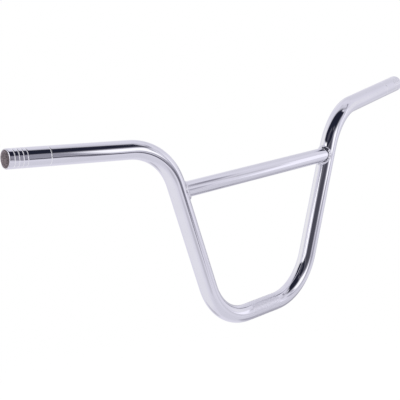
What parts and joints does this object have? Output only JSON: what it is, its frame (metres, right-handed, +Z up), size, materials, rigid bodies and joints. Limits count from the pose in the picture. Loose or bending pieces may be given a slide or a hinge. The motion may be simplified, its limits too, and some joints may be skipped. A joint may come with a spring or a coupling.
{
  "type": "bmx handlebar",
  "caption": "Four-bend tubular steel handlebar with a welded crossbar, for clamping in a stem and carrying grips.",
  "frame": {"origin": "middle of the straight clamped stretch, on the tube's axis", "axes": "+X along the clamped stretch to the rider's left, +Y back to the rider, +Z up in the uprights' plane"},
  "size_m": [0.7406, 0.0575, 0.2698],
  "materials": {
    "polished_chrome": "polished",
    "chromed_weld": "satin"
  },
  "bodies": {
    "root": {"main_bar": "polished_chrome", "crossbar": "polished_chrome", "weld_beads": "chromed_weld"}
  },
  "joints": []
}
